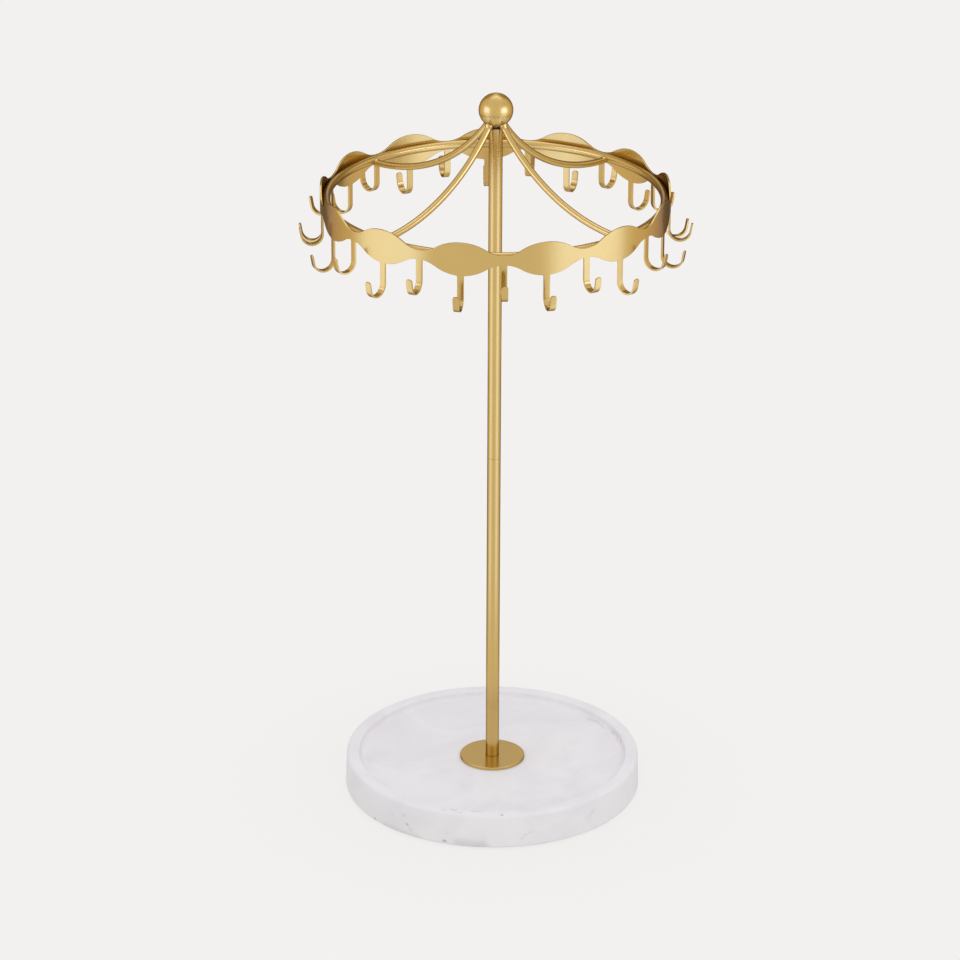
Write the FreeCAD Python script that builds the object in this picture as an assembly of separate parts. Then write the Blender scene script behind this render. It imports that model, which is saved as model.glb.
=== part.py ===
"""Rotating necklace stand on a cast stone tray.

A round tray carries a slim pole in two tubes.  A ball on a spindle turns in a bush at the pole's
top.  Four bent wire ribs run from the ball to a wire ring, and a scalloped sheet band with a hook
under each lobe and each waist stands round that ring.

Units are millimetres, +Z is up, and the origin is on the ground at the middle of the tray.
The front waist of the band faces -Y.
"""

import FreeCAD
import Part
import math
import os

# ---------------------------------------------------------------- driving dimensions

# Tray and its pads
PAD_COUNT = 4
PAD_D = 16.0
PAD_T = 1.0
PAD_CIRCLE_D = 140.0
TRAY_D = 178.6              # across the foot of the wall
TRAY_H = 21.0
TRAY_DRAFT = 0.6            # how far the wall leans in over its height
RIM_W = 8.0                 # from the wall's top to the dish
DISH_DEPTH = 5.0
RIM_ROUND = 1.6             # outer edge of the rim
FOOT_ROUND = 1.2            # lower edge of the wall
DISH_LIP_ROUND = 1.2        # inner edge of the rim
DISH_FILLET = 3.0           # between the dish's wall and its floor
RECESS_DEPTH = 8.0          # fastener recess under the tray
RECESS_CLEAR = 1.5          # radial room round the washer

# Pole
FOOT_DISC_D = 39.0
FOOT_DISC_T = 1.8
FOOT_DISC_EDGE = 0.3         # chamfer
POLE_D = 8.0
POLE_WALL = 1.0
LOWER_TUBE_L = 196.0
UPPER_TUBE_L = 205.5
TUBE_EDGE = 0.2             # chamfer on the tube ends, seen as a fine seam

# Fasteners and inserts inside the pole
INSERT_WALL = 0.5           # wall left round the threaded bore
INSERT_L = 14.0
JOINER_L = 26.0
BOLT_HEAD_D = 9.5
BOLT_HEAD_T = 2.8
BOLT_SOCKET = 3.0           # across the flats
BOLT_SOCKET_DEPTH = 1.6
BOLT_GRIP = 11.0            # length of the bolt inside the foot insert
WASHER_D = 20.0
WASHER_T = 1.2

# Turning joint at the top of the pole
BUSH_WALL = 0.95
BUSH_L = 12.0
BUSH_FLANGE_D = 7.2
BUSH_FLANGE_T = 0.5
COLLAR_D = 5.2
COLLAR_T = 0.35
SPINDLE_IN_BALL = 9.0
SPINDLE_TAIL = 1.6          # spindle beyond the clip
CLIP_T = 0.6
CLIP_GROOVE_DEPTH = 0.5
CLIP_WALL_GAP = 0.3         # between the clip and the tube's wall
CLIP_MOUTH = 2.4

# Canopy
BALL_D = 20.0
RIB_COUNT = 4
RIB_WIRE_D = 3.9
RIB_OFFSET = 1.5            # from the pole's surface to the rib's line where it meets the ball
RIB_DROP = 1.0              # how far the rib's line ends below the ring's line
RING_WIRE_D = 4.9
RING_RISE = 1.3             # ring line above the band's middle line
BAND_D = 202.8              # outside
BAND_DROP = 44.1            # from the pole's top to the band's middle line
SHEET_T = 1.1
LOBES = 13
LOBE_H = 19.7
WAIST_H = 5.6
LOBE_SHARE = 0.60           # part of each lobe-to-waist curve taken by the lobe's rounder arc

# Hooks
HOOK_W = 3.8
HOOK_DROP = 18.9            # from the band's edge to the bottom of the hook
HOOK_BEND_R = 6.2           # line of the bend
HOOK_LEAN = 10.0            # degrees, outward lean of the tip leg
HOOK_RISE = 11.1            # from the bottom of the hook to its tip
HOOK_TIP_ROUND = 1.5
HOOK_ROOT_ROUND = 0.7

# Fits
RUN_GAP = 0.05              # running clearance, on the radius and along the spindle
FIT_GAP = 0.02              # pressed, glued or threaded pieces, on the radius
WELD_GAP = 0.02             # between the ring and the band that is welded to it
HOLE_CLEAR = 0.4            # bolt holes, on the radius
CUT_OVER = 1.0              # how far a cutting tool runs past what it cuts
SAME_PLACE = 1e-4           # two places closer than this are one

# ---------------------------------------------------------------- worked-out places

TRAY_TOP = PAD_T + TRAY_H
DISH_Z = TRAY_TOP - DISH_DEPTH
RIM_R = TRAY_D / 2 - TRAY_DRAFT
DISH_R = RIM_R - RIM_W
RECESS_R = WASHER_D / 2 + RECESS_CLEAR
RECESS_Z = PAD_T + RECESS_DEPTH
DISC_TOP = DISH_Z + FOOT_DISC_T
SEAM_Z = DISC_TOP + LOWER_TUBE_L
POLE_TOP = SEAM_Z + UPPER_TUBE_L
POLE_R = POLE_D / 2
TUBE_BORE_R = POLE_R - POLE_WALL
INSERT_R = TUBE_BORE_R - FIT_GAP
THREAD_R = INSERT_R - INSERT_WALL
STUD_R = THREAD_R - FIT_GAP

BALL_R = BALL_D / 2
JOURNAL_R = INSERT_R - BUSH_WALL - RUN_GAP
COLLAR_Z = POLE_TOP + BUSH_FLANGE_T + RUN_GAP
BALL_FLAT_Z = COLLAR_Z + COLLAR_T
BALL_FLAT_R = COLLAR_D / 2
BALL_Z = BALL_FLAT_Z + math.sqrt(BALL_R ** 2 - BALL_FLAT_R ** 2)
CLIP_TOP = POLE_TOP - BUSH_L - RUN_GAP

BAND_Z = POLE_TOP - BAND_DROP
BAND_R = BAND_D / 2
BAND_INNER_R = BAND_R - SHEET_T
RING_R = BAND_INNER_R - WELD_GAP - RING_WIRE_D / 2
RING_Z = BAND_Z + RING_RISE
PITCH = 360.0 / LOBES
HOOK_HALF_ROOT = HOOK_W / 2 + HOOK_ROOT_ROUND
HOOK_FACE_R = math.sqrt(BAND_R ** 2 - HOOK_HALF_ROOT ** 2)   # flat hook face inside the rolled wall
HOOK_T = HOOK_FACE_R - BAND_INNER_R
UP = FreeCAD.Vector(0, 0, 1)


# ---------------------------------------------------------------- small helpers

def vec(x, y, z):
    return FreeCAD.Vector(x, y, z)


def cylinder(radius, z_low, z_high):
    """Upright cylinder on the pole's axis."""
    return Part.makeCylinder(radius, z_high - z_low, vec(0, 0, z_low))


def tube(outer_r, inner_r, z_low, z_high):
    """Upright tube on the pole's axis."""
    bore = cylinder(inner_r, z_low - CUT_OVER, z_high + CUT_OVER)
    return cylinder(outer_r, z_low, z_high).cut(bore)


def round_edges(shape, radius, chosen):
    """Fillet the edges for which chosen(edge) is true."""
    return shape.makeFillet(radius, [edge for edge in shape.Edges if chosen(edge)])


def is_circle(edge, radius, height):
    """True for a level circle of this radius at this height."""
    curve = edge.Curve
    if not isinstance(curve, Part.Circle):
        return False
    same_size = abs(curve.Radius - radius) < SAME_PLACE
    return same_size and abs(curve.Center.z - height) < SAME_PLACE


def at_azimuth(shape, degrees):
    """Turn a shape that was made facing -Y to its place round the pole."""
    turned = shape.copy()
    turned.rotate(vec(0, 0, 0), UP, degrees)
    return turned


def arc_edge(centre, radius, start_deg, end_deg, to_point):
    """Arc through start, middle and end angles, placed in space by to_point(x, y)."""
    points = []
    for angle in (start_deg, (start_deg + end_deg) / 2, end_deg):
        turn = math.radians(angle)
        x = centre[0] + radius * math.cos(turn)
        y = centre[1] + radius * math.sin(turn)
        points.append(to_point(x, y))
    return Part.Arc(*points).toShape()


# ---------------------------------------------------------------- tray and foot

def make_tray():
    """Cast dish: a drafted wall with a flat rim, a shallow dish and a fastener recess below."""
    foot_r = TRAY_D / 2
    outline = [
        vec(0, 0, PAD_T),
        vec(foot_r, 0, PAD_T),
        vec(RIM_R, 0, TRAY_TOP),
        vec(DISH_R, 0, TRAY_TOP),
        vec(DISH_R, 0, DISH_Z),
        vec(0, 0, DISH_Z),
        vec(0, 0, PAD_T),
    ]
    body = Part.Face(Part.makePolygon(outline)).revolve(vec(0, 0, 0), UP, 360)
    body = round_edges(body, RIM_ROUND, lambda edge: is_circle(edge, RIM_R, TRAY_TOP))
    body = round_edges(body, FOOT_ROUND, lambda edge: is_circle(edge, foot_r, PAD_T))
    body = round_edges(body, DISH_LIP_ROUND, lambda edge: is_circle(edge, DISH_R, TRAY_TOP))
    body = round_edges(body, DISH_FILLET, lambda edge: is_circle(edge, DISH_R, DISH_Z))
    recess = cylinder(RECESS_R, PAD_T - CUT_OVER, RECESS_Z)
    bolt_hole = cylinder(STUD_R + HOLE_CLEAR, PAD_T, DISH_Z + CUT_OVER)
    return body.cut(recess).cut(bolt_hole)


def make_pad(index):
    """Foam disc under the tray."""
    pad = Part.makeCylinder(PAD_D / 2, PAD_T, vec(0, -PAD_CIRCLE_D / 2, 0))
    return at_azimuth(pad, (index + 0.5) * 360.0 / PAD_COUNT)


def make_foot_disc():
    """Thin plate between the dish's floor and the pole."""
    disc = tube(FOOT_DISC_D / 2, STUD_R + HOLE_CLEAR, DISH_Z, DISC_TOP)
    rim = [edge for edge in disc.Edges if is_circle(edge, FOOT_DISC_D / 2, DISC_TOP)]
    return disc.makeChamfer(FOOT_DISC_EDGE, rim)


# ---------------------------------------------------------------- pole

def make_pole_tube(z_low, z_high):
    """One length of pole, with a fine chamfer on each outer end."""
    body = tube(POLE_R, TUBE_BORE_R, z_low, z_high)
    ends = [edge for edge in body.Edges
            if is_circle(edge, POLE_R, z_low) or is_circle(edge, POLE_R, z_high)]
    return body.makeChamfer(TUBE_EDGE, ends)


def make_insert(z_low):
    """Threaded sleeve pressed into a tube's end."""
    return tube(INSERT_R, THREAD_R, z_low, z_low + INSERT_L)


def make_joiner():
    """Stud that draws the two tubes together."""
    return cylinder(STUD_R, SEAM_Z - JOINER_L / 2, SEAM_Z + JOINER_L / 2)


def make_washer():
    """Wide washer against the roof of the recess."""
    return tube(WASHER_D / 2, STUD_R + HOLE_CLEAR, RECESS_Z - WASHER_T, RECESS_Z)


def make_bolt():
    """Socket bolt, from the recess up into the pole's foot insert."""
    head_top = RECESS_Z - WASHER_T
    head_low = head_top - BOLT_HEAD_T
    head = cylinder(BOLT_HEAD_D / 2, head_low, head_top)
    shank = cylinder(STUD_R, head_top, DISC_TOP + BOLT_GRIP)
    corner_r = BOLT_SOCKET / math.sqrt(3)
    corners = []
    for index in range(7):
        turn = math.radians(60 * index)
        corners.append(vec(corner_r * math.cos(turn), corner_r * math.sin(turn), head_low))
    socket = Part.Face(Part.makePolygon(corners)).extrude(UP * BOLT_SOCKET_DEPTH)
    return head.fuse(shank).removeSplitter().cut(socket)


# ---------------------------------------------------------------- turning joint

def make_bush():
    """Flanged plain bush in the pole's top."""
    body = cylinder(INSERT_R, POLE_TOP - BUSH_L, POLE_TOP)
    flange = cylinder(BUSH_FLANGE_D / 2, POLE_TOP, POLE_TOP + BUSH_FLANGE_T)
    bore = cylinder(JOURNAL_R + RUN_GAP, POLE_TOP - BUSH_L - CUT_OVER, POLE_TOP + CUT_OVER)
    return body.fuse(flange).removeSplitter().cut(bore)


def make_spindle():
    """Stepped pin: threaded in the ball, a collar on the bush, a journal and a clip groove."""
    tail_z = CLIP_TOP - CLIP_T - SPINDLE_TAIL
    journal = cylinder(JOURNAL_R, tail_z, COLLAR_Z)
    collar = cylinder(BALL_FLAT_R, COLLAR_Z, BALL_FLAT_Z)
    shank = cylinder(JOURNAL_R, BALL_FLAT_Z, BALL_FLAT_Z + SPINDLE_IN_BALL)
    groove = tube(JOURNAL_R + CUT_OVER, JOURNAL_R - CLIP_GROOVE_DEPTH, CLIP_TOP - CLIP_T, CLIP_TOP)
    return journal.fuse([collar, shank]).removeSplitter().cut(groove)


def make_clip():
    """Open spring clip in the spindle's groove, under the bush."""
    outer_r = TUBE_BORE_R - CLIP_WALL_GAP
    inner_r = JOURNAL_R - CLIP_GROOVE_DEPTH + FIT_GAP
    clip_low = CLIP_TOP - CLIP_T
    ring = tube(outer_r, inner_r, clip_low + FIT_GAP, CLIP_TOP - FIT_GAP)
    corner = vec(-CLIP_MOUTH / 2, 0, clip_low - CUT_OVER)
    mouth = Part.makeBox(CLIP_MOUTH, outer_r + CUT_OVER, CLIP_T + 2 * CUT_OVER, corner)
    return ring.cut(mouth)


def make_ball():
    """Solid ball with a small flat and a blind hole for the spindle."""
    ball = Part.makeSphere(BALL_R, vec(0, 0, BALL_Z))
    below_flat = cylinder(BALL_R, BALL_Z - BALL_R - CUT_OVER, BALL_FLAT_Z)
    hole_top = BALL_FLAT_Z + SPINDLE_IN_BALL + FIT_GAP
    hole = cylinder(JOURNAL_R + FIT_GAP, BALL_FLAT_Z - CUT_OVER, hole_top)
    return ball.cut(below_flat).cut(hole)


# ---------------------------------------------------------------- ribs and ring

def make_ring():
    """Closed wire ring inside the band."""
    return Part.makeTorus(RING_R, RING_WIRE_D / 2, vec(0, 0, RING_Z), UP)


def make_rib(index, ball_space, ring):
    """Wire bent to one arc: steep where it meets the ball, level where it ends under the ring."""
    start_r = POLE_R + RIB_OFFSET
    start_z = BALL_Z - math.sqrt(BALL_R ** 2 - start_r ** 2)
    end_z = RING_Z - RIB_DROP
    run = RING_R - start_r
    drop = start_z - end_z
    bend_r = (run ** 2 + drop ** 2) / (2 * drop)
    sweep = math.degrees(math.atan2(run, bend_r - drop))
    spare = math.degrees(RIB_WIRE_D / bend_r)
    centre = vec(0, -RING_R, end_z + bend_r)
    section = Part.Wire(Part.makeCircle(RIB_WIRE_D / 2, vec(0, -RING_R, end_z), vec(0, 1, 0)))
    wire = Part.Face(section).revolve(centre, vec(1, 0, 0), sweep + spare)
    wire = at_azimuth(wire, (index + 0.5) * 360.0 / RIB_COUNT)
    return wire.cut(ball_space).cut(ring)


# ---------------------------------------------------------------- scalloped band

def scallop_edges(side):
    """Edges of one scallop, crest to crest, side +1 for the band's top and -1 for its bottom.

    The waist is a hollow arc and each half lobe a rounder arc, and they meet without a corner.
    """
    half = BAND_R * math.sin(math.radians(PITCH / 2))
    depth = (LOBE_H - WAIST_H) / 2
    both = (half ** 2 + depth ** 2) / (2 * depth)
    lobe_r = LOBE_SHARE * both
    waist_r = both - lobe_r
    turn = math.degrees(math.asin(half / both))

    def place(x, z):
        return vec(x, 0, BAND_Z + side * z)

    lobe_low = LOBE_H / 2 - lobe_r
    waist_high = WAIST_H / 2 + waist_r
    left = arc_edge((-half, lobe_low), lobe_r, 90, 90 - turn, place)
    middle = arc_edge((0, waist_high), waist_r, 270 - turn, 270 + turn, place)
    right = arc_edge((half, lobe_low), lobe_r, 90 + turn, 90, place)
    crest = LOBE_H / 2
    over = crest + CUT_OVER
    corners = [place(half, crest), place(half, over), place(-half, over), place(-half, crest)]
    return [left, middle, right] + Part.makePolygon(corners).Edges


def make_band():
    """Rolled strip with its edges cut to lobes and waists."""
    strip = tube(BAND_R, BAND_INNER_R, BAND_Z - LOBE_H / 2, BAND_Z + LOBE_H / 2)
    cutters = []
    for side in (1, -1):
        scallop = Part.Face(Part.Wire(Part.__sortEdges__(scallop_edges(side))))
        inside_y = -BAND_INNER_R * math.cos(math.radians(PITCH / 2)) + CUT_OVER
        scallop.translate(vec(0, inside_y, 0))
        cutter = scallop.extrude(vec(0, -BAND_R, 0))
        for index in range(LOBES):
            cutters.append(at_azimuth(cutter, index * PITCH))
    return strip.cut(cutters)


# ---------------------------------------------------------------- hooks

def hook_roots(edge_z):
    """Small rounds on both sides of the strap where it leaves the band."""
    size = HOOK_ROOT_ROUND
    corner = vec(-HOOK_HALF_ROOT, -HOOK_FACE_R, edge_z - size)
    block = Part.makeBox(2 * HOOK_HALF_ROOT, HOOK_T, 2 * size, corner)
    for side in (-1, 1):
        start = vec(side * HOOK_HALF_ROOT, -HOOK_FACE_R - CUT_OVER, edge_z - size)
        hollow = Part.makeCylinder(size, HOOK_T + 2 * CUT_OVER, start, vec(0, 1, 0))
        block = block.cut(hollow)
    return block


def make_hook(edge_z, band):
    """Flat strap below the band's edge, bent outward to a J and rounded at its tip."""
    half_t = HOOK_T / 2
    strap_r = HOOK_FACE_R - half_t
    outer_r = HOOK_BEND_R + half_t
    inner_r = HOOK_BEND_R - half_t
    low_z = edge_z - HOOK_DROP
    centre = (HOOK_BEND_R, low_z + outer_r)
    lean = math.radians(HOOK_LEAN)
    leg_start_z = centre[1] - HOOK_BEND_R * math.sin(lean)
    leg_end_z = low_z + HOOK_RISE - half_t * math.sin(lean)
    leg = (leg_end_z - leg_start_z) / math.cos(lean)

    def place(out, z):
        return vec(-HOOK_W / 2, -strap_r - out, z)

    def bend_end(radius):
        out = centre[0] + radius * math.cos(lean)
        return place(out, centre[1] - radius * math.sin(lean))

    def tip(radius):
        return bend_end(radius) + vec(0, -leg * math.sin(lean), leg * math.cos(lean))

    top_z = edge_z + HOOK_ROOT_ROUND
    edges = [
        Part.makeLine(place(-half_t, top_z), place(-half_t, centre[1])),
        arc_edge(centre, outer_r, 180, 360 - HOOK_LEAN, place),
        Part.makeLine(bend_end(outer_r), tip(outer_r)),
        Part.makeLine(tip(outer_r), tip(inner_r)),
        Part.makeLine(tip(inner_r), bend_end(inner_r)),
        arc_edge(centre, inner_r, 360 - HOOK_LEAN, 180, place),
        Part.makeLine(place(half_t, centre[1]), place(half_t, top_z)),
        Part.makeLine(place(half_t, top_z), place(-half_t, top_z)),
    ]
    strap = Part.Face(Part.Wire(edges)).extrude(vec(HOOK_W, 0, 0))
    tip_line = tip(HOOK_BEND_R)

    def is_tip_corner(edge):
        middle = edge.CenterOfMass
        return math.hypot(middle.y - tip_line.y, middle.z - tip_line.z) < SAME_PLACE

    strap = round_edges(strap, HOOK_TIP_ROUND, is_tip_corner)
    return strap.fuse(hook_roots(edge_z)).removeSplitter().cut(band)


# ---------------------------------------------------------------- all pieces

def make_parts():
    """Every piece by its node's name."""
    parts = {"tray": make_tray(), "foot_disc": make_foot_disc()}
    for index in range(PAD_COUNT):
        parts["tray_pad_%d" % (index + 1)] = make_pad(index)
    parts["lower_tube"] = make_pole_tube(DISC_TOP, SEAM_Z)
    parts["upper_tube"] = make_pole_tube(SEAM_Z, POLE_TOP)
    parts["foot_insert"] = make_insert(DISC_TOP + FIT_GAP)
    parts["seam_insert_lower"] = make_insert(SEAM_Z - INSERT_L)
    parts["seam_insert_upper"] = make_insert(SEAM_Z)
    parts["joiner_stud"] = make_joiner()
    parts["base_washer"] = make_washer()
    parts["base_bolt"] = make_bolt()
    parts["top_bush"] = make_bush()
    parts["spindle"] = make_spindle()
    parts["spindle_clip"] = make_clip()
    parts["ball_finial"] = make_ball()

    ring = make_ring()
    band = make_band()
    parts["ring_wire"] = ring
    parts["scalloped_band"] = band
    ball_space = Part.makeSphere(BALL_R, vec(0, 0, BALL_Z))
    for index in range(RIB_COUNT):
        parts["rib_%d" % (index + 1)] = make_rib(index, ball_space, ring)

    waist_hook = make_hook(BAND_Z - WAIST_H / 2, band)
    lobe_hook = make_hook(BAND_Z - LOBE_H / 2, at_azimuth(band, PITCH / 2))
    for index in range(LOBES):
        parts["hook_waist_%02d" % (index + 1)] = at_azimuth(waist_hook, index * PITCH)
        parts["hook_lobe_%02d" % (index + 1)] = at_azimuth(lobe_hook, (index + 0.5) * PITCH)
    return parts


def main():
    os.makedirs("parts", exist_ok=True)
    for name, shape in make_parts().items():
        solids = shape.Solids
        whole = solids[0] if len(solids) == 1 else Part.makeCompound(solids)
        whole.exportStep(os.path.join("parts", name + ".step"))
        state = (name, len(solids), whole.Volume, whole.isValid())
        print("%-20s solids %d  volume %.2f  valid %s" % state)


main()
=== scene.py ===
import math

import bmesh
import bpy
import numpy as np
from bpy.props import FloatProperty, FloatVectorProperty, IntProperty, PointerProperty
from mathutils import Matrix, Vector


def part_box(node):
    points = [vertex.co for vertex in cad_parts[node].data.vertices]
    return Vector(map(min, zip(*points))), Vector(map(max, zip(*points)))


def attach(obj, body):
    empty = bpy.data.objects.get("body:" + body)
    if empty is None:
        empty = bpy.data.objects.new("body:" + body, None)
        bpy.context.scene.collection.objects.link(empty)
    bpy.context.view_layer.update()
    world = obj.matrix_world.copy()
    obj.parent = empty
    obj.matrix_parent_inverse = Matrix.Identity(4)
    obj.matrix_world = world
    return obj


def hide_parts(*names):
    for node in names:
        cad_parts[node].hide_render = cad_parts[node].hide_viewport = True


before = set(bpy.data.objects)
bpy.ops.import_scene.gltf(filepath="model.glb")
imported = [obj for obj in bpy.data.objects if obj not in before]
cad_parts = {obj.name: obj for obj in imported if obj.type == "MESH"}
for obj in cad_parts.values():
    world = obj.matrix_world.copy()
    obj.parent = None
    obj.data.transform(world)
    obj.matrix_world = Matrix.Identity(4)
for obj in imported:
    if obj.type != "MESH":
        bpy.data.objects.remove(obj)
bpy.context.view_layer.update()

bl_info = {
    "name": "Necklace carousel stand",
    "version": (1, 0, 0),
    "blender": (4, 5, 0),
    "location": "3D View > Sidebar > Stand",
    "description": "Builds the dressed pieces of a turning necklace stand on its packed frame",
    "category": "Add Mesh",
}

MM = 0.001
LOBES = sum(node.startswith("hook_lobe_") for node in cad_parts)
RIBS = sum(node.startswith("rib_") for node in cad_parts)


# ---------------------------------------------------------------- colours and frame sizes

def linear(hex_colour):
    """sRGB hex to linear: below 0.04045 divide by 12.92, above it ((c + 0.055) / 1.055) ** 2.4."""
    channels = np.array([int(hex_colour[i:i + 2], 16) for i in (1, 3, 5)]) / 255
    low = channels / 12.92
    high = ((channels + 0.055) / 1.055) ** 2.4
    return tuple(float(c) for c in np.where(channels <= 0.04045, low, high))


def top_of(node):
    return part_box(node)[1].z


def bottom_of(node):
    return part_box(node)[0].z


def radius_of(node):
    """Half the width of a node that is round about the pole."""
    low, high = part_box(node)
    return (high.x - low.x) / 2


# ---------------------------------------------------------------- settings a user would change

def length_setting(name, description, millimetres):
    return FloatProperty(
        name=name, description=description, default=millimetres * MM, unit="LENGTH", precision=5)


def colour_setting(name, description, hex_colour):
    return FloatVectorProperty(
        name=name, description=description, default=linear(hex_colour), subtype="COLOR", min=0, max=1)


class StandSizes(bpy.types.PropertyGroup):
    """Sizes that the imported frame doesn't give by itself."""

    sheet: length_setting("Sheet thickness", "Thickness of the band and its hooks", 1.1)
    waist: length_setting("Waist height", "Height of the band between two lobes", 5.6)
    lobe_share: FloatProperty(
        name="Lobe share", description="Part of each lobe-to-waist curve that is the lobe's rounder arc",
        default=0.60, min=0.3, max=0.9)
    edge: length_setting("Sheet edge round", "Radius of the tumbled edges of the sheet", 0.24)
    hook_width: length_setting("Hook width", "Width of a hook's strap", 3.8)
    hook_bend: length_setting("Hook bend", "Bend radius of a hook, to the middle of the sheet", 6.17)
    hook_lean: FloatProperty(
        name="Hook lean", description="Outward lean of a hook's tip leg",
        default=math.radians(10.0), subtype="ANGLE")
    hook_rise: length_setting("Hook rise", "Height of a hook's tip above its lowest point", 11.1)
    hook_tip: length_setting("Hook tip round", "Corner radius of a hook's tip", 1.5)
    hook_root: length_setting("Hook root round", "Radius beside a hook where it leaves the band", 0.7)
    rib_wire: length_setting("Rib wire", "Diameter of the four rib wires", 3.9)
    rib_drop: length_setting("Rib drop", "How far the rib's line ends below the ring's line", 1.0)
    rib_offset: length_setting("Rib offset", "Pole's surface to the rib's line at the ball", 1.5)
    tube_wall: length_setting("Tube wall", "Wall of the pole's tubes", 1.0)
    tube_edge: length_setting("Tube edge round", "Rounding of the tube ends, seen as a fine seam", 0.2)
    disc_edge: length_setting("Disc edge round", "Rounding of the foot disc's upper edge", 0.3)
    rim_width: length_setting("Rim width", "Flat rim of the tray, from its wall to the dish", 8.0)
    dish_depth: length_setting("Dish depth", "Depth of the tray's dish", 5.0)
    tray_draft: length_setting("Tray draft", "How far the tray's wall leans in over its height", 0.6)
    columns: IntProperty(
        name="Round steps", description="Steps round the pole for each turned piece",
        default=192, min=24)


class StandColours(bpy.types.PropertyGroup):
    """Base colours of the finishes, in linear light."""

    gold: colour_setting("Gold lacquer", "Satin gold on the steel pieces", "#CBA641")
    gold_shade: colour_setting("Gold lacquer, thick", "Where the coat is a little thicker", "#C49C38")
    gold_edge: colour_setting("Gold lacquer, edge", "Tint of reflections at a very flat angle", "#5A4622")
    stone: colour_setting("Cast stone", "Body colour of the tray", "#E8E6E7")
    stone_vein: colour_setting("Cast stone, vein", "Faint cloudy veins in the tray", "#E0DEE0")
    # The bush's dark warm brown is partly painted shade of the gap under the ball.
    stone_mark_and_shade: colour_setting("Cast stone, mark", "Pits, scuffs and hairlines in the tray", "#8F8C90")
    # Also the colour of a painted shade along the dish's inner wall on the right and back right.
    nylon: colour_setting("Nylon", "Dark bush at the pole's top", "#1E1710")
    foam: colour_setting("Foam", "Pads under the tray", "#D6D4CF")
    zinc: colour_setting("Zinc plate", "Bolt, washer, stud, spindle and clip", "#B9BBBD")
    brass: colour_setting("Brass", "Threaded inserts", "#C8A45A")
    backdrop: colour_setting("Backdrop", "Pale floor and background", "#F3F1EF")


# ---------------------------------------------------------------- steps and small shapes

BAND_ROWS = 11  # rows of points from the band's top edge to its bottom edge
STRAP_STEPS = 4  # columns from a hook's middle to its side
BETWEEN_STEPS = 16  # columns from one hook's root round to the next one's
ROOT_TURN = np.radians([75, 60, 40, 20, 0])  # the root round beside a hook
EDGE_TURN = np.radians([30, 60, 90])  # the tumbled edge, from the sheet's face to its rim
STRAIGHT_STEPS, BEND_STEPS, LEG_STEPS = 6, 19, 4  # rows down a hook's three runs
TIP_TURN = np.radians([25, 45, 65, 90])  # a corner of a hook's tip
WIRE_SIDES = 28  # steps round a wire
RIB_STEPS = 161  # steps along a rib
RIB_END = 0.02  # share of the wire's radius left where a rib ends inside the ball or the ring
WELD_LENGTH = 1.1 * MM
RING_SWELL, BALL_SWELL = 0.3, 0.5  # share of the wire's radius that a weld adds
BALL_STEPS = 72  # steps from the ball's top to its flat
AXIS_GAP = 1e-6  # how near the axis a turned outline comes before its points are merged
RECESS_PLAY = 1.5 * MM  # from the washer to the wall of the tray's recess
HOLE_PLAY = 0.4 * MM  # from the joiner stud to the wall of the tray's hole
RECESS_ROUND, FOOT_ROUND, RIM_ROUND = 0.3 * MM, 1.2 * MM, 2.2 * MM  # rounds of the tray's section
LIP_ROUND, FLOOR_ROUND = 1.7 * MM, 3.4 * MM
UNDERSIDE_STEP, FINE_STEP = 6.0 * MM, 1.0 * MM  # longest steps along the tray's section
TUBE_STEP, DISC_STEP = 8 * MM, 1.5 * MM  # longest steps along the tubes' and the disc's sections
WAVE_SHARE = 0.0008  # share of the tray's radius that its slow waves take off
WAVE_START = 0.8  # share of the tray's radius where the waves begin


# ---------------------------------------------------------------- mesh helpers

def new_object(name, data):
    """An object with that data, linked to the scene."""
    made = bpy.data.objects.new(name, data)
    bpy.context.scene.collection.objects.link(made)
    return made


def four_cornered(name, corners):
    """An object with one face."""
    mesh = bpy.data.meshes.new(name)
    mesh.from_pydata(corners, [], [(0, 1, 2, 3)])
    return new_object(name, mesh)


def new_piece(name, points, faces, material, body, stands_for):
    """A smooth-shaded piece from (n, 3) points and (m, 4) corner numbers, riding on its body."""
    mesh = bpy.data.meshes.new(name)
    mesh.vertices.add(len(points))
    mesh.vertices.foreach_set("co", np.ascontiguousarray(points, np.float32).ravel())
    mesh.loops.add(faces.size)
    mesh.loops.foreach_set("vertex_index", faces.astype(np.int32).ravel())
    mesh.polygons.add(len(faces))
    mesh.polygons.foreach_set("loop_start", np.arange(0, faces.size, 4, dtype=np.int32))
    mesh.polygons.foreach_set("use_smooth", np.ones(len(faces), bool))
    mesh.update(calc_edges=True)
    mesh.validate()
    mesh.materials.append(material)
    piece = new_object(name, mesh)
    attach(piece, body)
    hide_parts(*stands_for)
    return piece


def keep_flats_flat(piece):
    """Weights each corner's normal by face area, so broad faces stay even beside small rounds."""
    weights = piece.modifiers.new("broad faces first", "WEIGHTED_NORMAL")
    weights.mode = "FACE_AREA"
    weights.keep_sharp = False


def grid_faces(rows, columns, wrap_rows=False, wrap_columns=False):
    """Quads of a rows x columns grid of points, numbered row by row."""
    row = np.arange(rows if wrap_rows else rows - 1)[:, None]
    column = np.arange(columns if wrap_columns else columns - 1)[None, :]
    next_row = (row + 1) % rows
    next_column = (column + 1) % columns
    corners = (row * columns + column, row * columns + next_column,
               next_row * columns + next_column, next_row * columns + column)
    return np.stack(np.broadcast_arrays(*corners), -1).reshape(-1, 4)


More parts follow.
